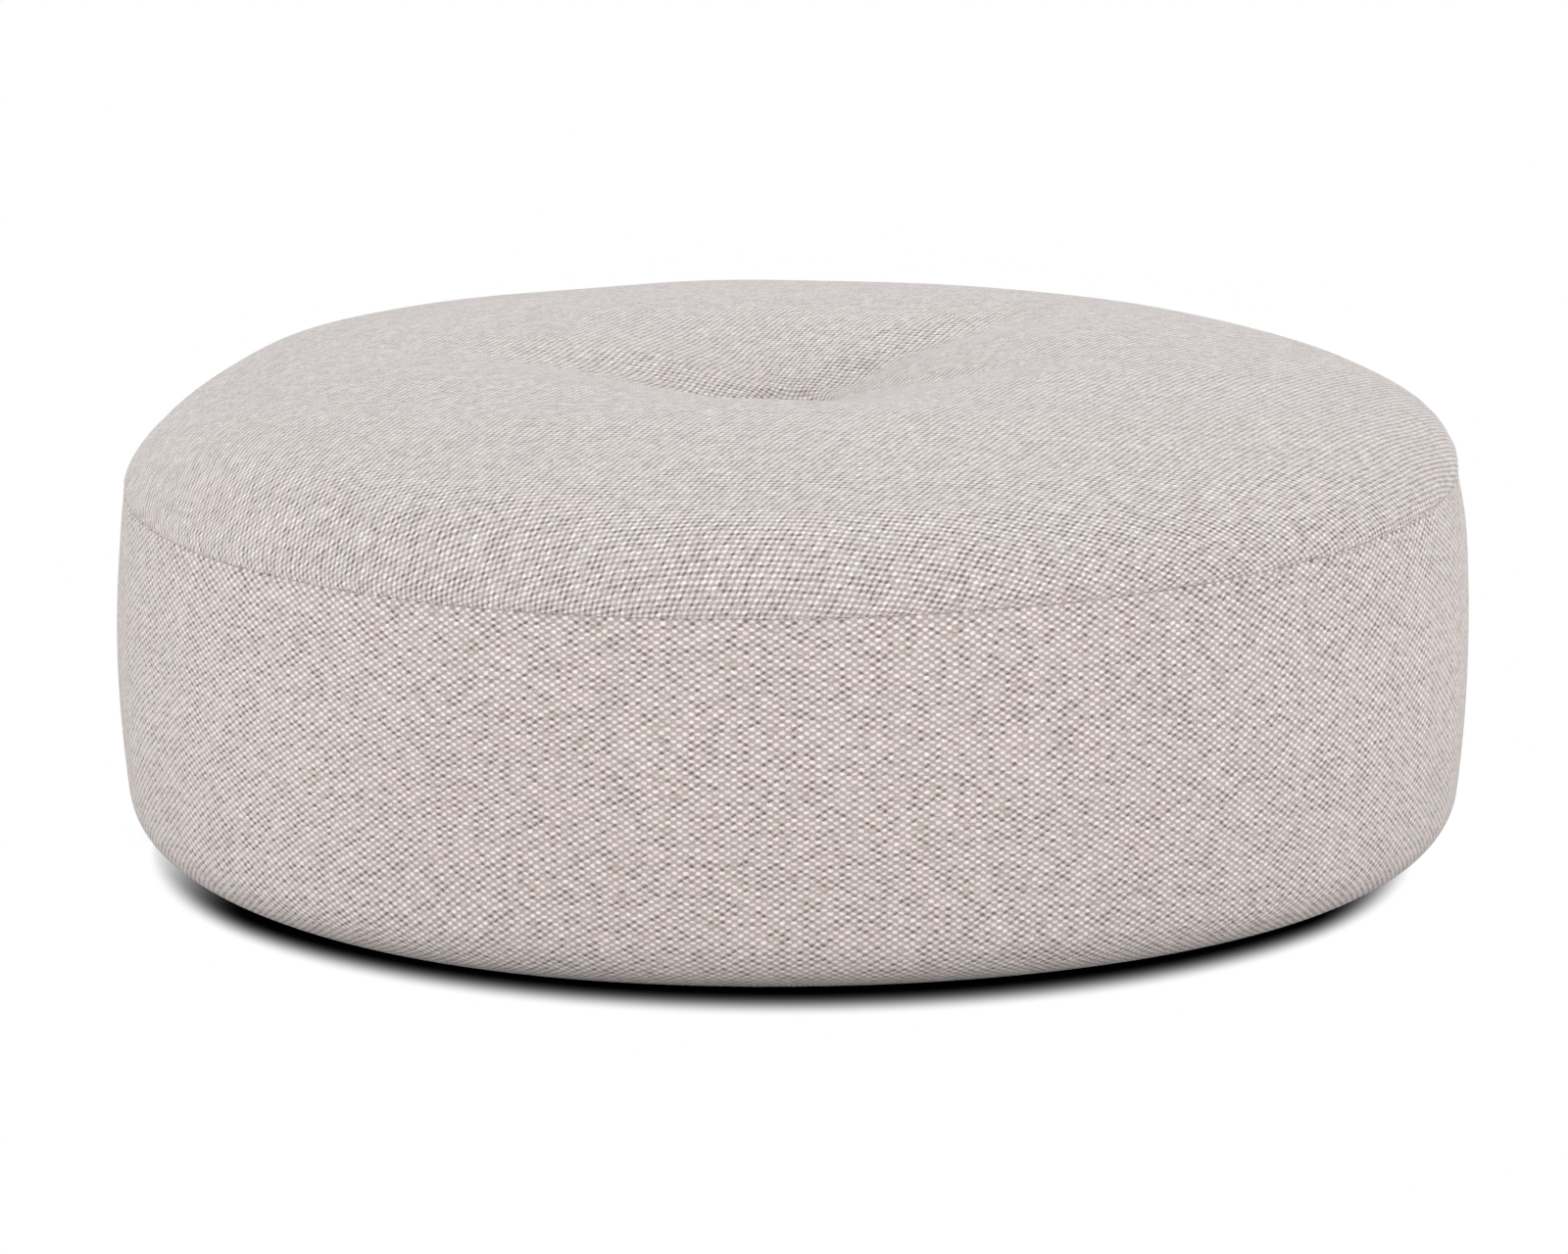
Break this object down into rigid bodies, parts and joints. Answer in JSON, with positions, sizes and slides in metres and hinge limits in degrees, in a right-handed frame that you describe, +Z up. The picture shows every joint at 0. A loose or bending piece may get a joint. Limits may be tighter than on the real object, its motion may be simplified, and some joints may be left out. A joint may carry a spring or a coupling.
{
  "type": "ottoman coffee table",
  "caption": "Low round drum-shaped upholstered ottoman table in coarse tweed, its domed top seamed to a side band and drawn down in the middle by a deep tuft.",
  "frame": {"origin": "on the floor, under the ottoman's centre", "axes": "+Z up along the ottoman's own axis; -Y towards the viewer of the picture, +X to the viewer's right"},
  "size_m": [1.0162, 1.0162, 0.3775],
  "materials": {
    "cover_cloth": "coarse basket-weave tweed in warm pale greige, matt",
    "cushion_foam": "open-cell foam, cream, matt",
    "jute_webbing": "close-woven jute strap with a dark stripe along each edge",
    "staple_wire": "galvanized wire",
    "burlap_cloth": "open plain-weave burlap",
    "plywood": "bare birch plywood and softwood",
    "hardboard": "brown hardboard, smooth face out",
    "black_underlay": "black spunbonded underlay cloth, matt",
    "nail_steel": "plain steel",
    "waxed_twine": "waxed flax tufting twine",
    "beech": "plain beech",
    "stained_feet": "black-stained wood, satin"
  },
  "bodies": {
    "root": {"cover_top_panel": "cover_cloth", "cover_side_band": "cover_cloth", "tuft_button": "cover_cloth", "foam_crown": "cushion_foam", "foam_core": "cushion_foam", "foam_side_wrap": "cushion_foam", "webbing_across_1": "jute_webbing", "webbing_across_2": "jute_webbing", "webbing_across_3": "jute_webbing", "webbing_across_4": "jute_webbing", "webbing_along_1": "jute_webbing", "webbing_along_2": "jute_webbing", "webbing_along_3": "jute_webbing", "webbing_along_4": "jute_webbing", "webbing_staples": "staple_wire", "burlap_sheet": "burlap_cloth", "deck_ring": "plywood", "base_ring": "plywood", "base_rail_across": "plywood", "base_rail_along": "plywood", "upright_1": "plywood", "upright_2": "plywood", "upright_3": "plywood", "upright_4": "plywood", "upright_5": "plywood", "upright_6": "plywood", "upright_7": "plywood", "upright_8": "plywood", "side_panel_1": "hardboard", "side_panel_2": "hardboard", "side_panel_3": "hardboard", "side_panel_4": "hardboard", "side_panel_5": "hardboard", "side_panel_6": "hardboard", "side_panel_7": "hardboard", "side_panel_8": "hardboard", "side_panel_9": "hardboard", "side_panel_10": "hardboard", "side_panel_11": "hardboard", "side_panel_12": "hardboard", "side_panel_13": "hardboard", "side_panel_14": "hardboard", "side_panel_15": "hardboard", "side_panel_16": "hardboard", "dust_cover": "black_underlay", "foot_nails": "nail_steel", "tuft_twine": "waxed_twine", "tuft_toggle": "beech", "foot_1": "stained_feet", "foot_2": "stained_feet", "foot_3": "stained_feet", "foot_4": "stained_feet"}
  },
  "joints": []
}
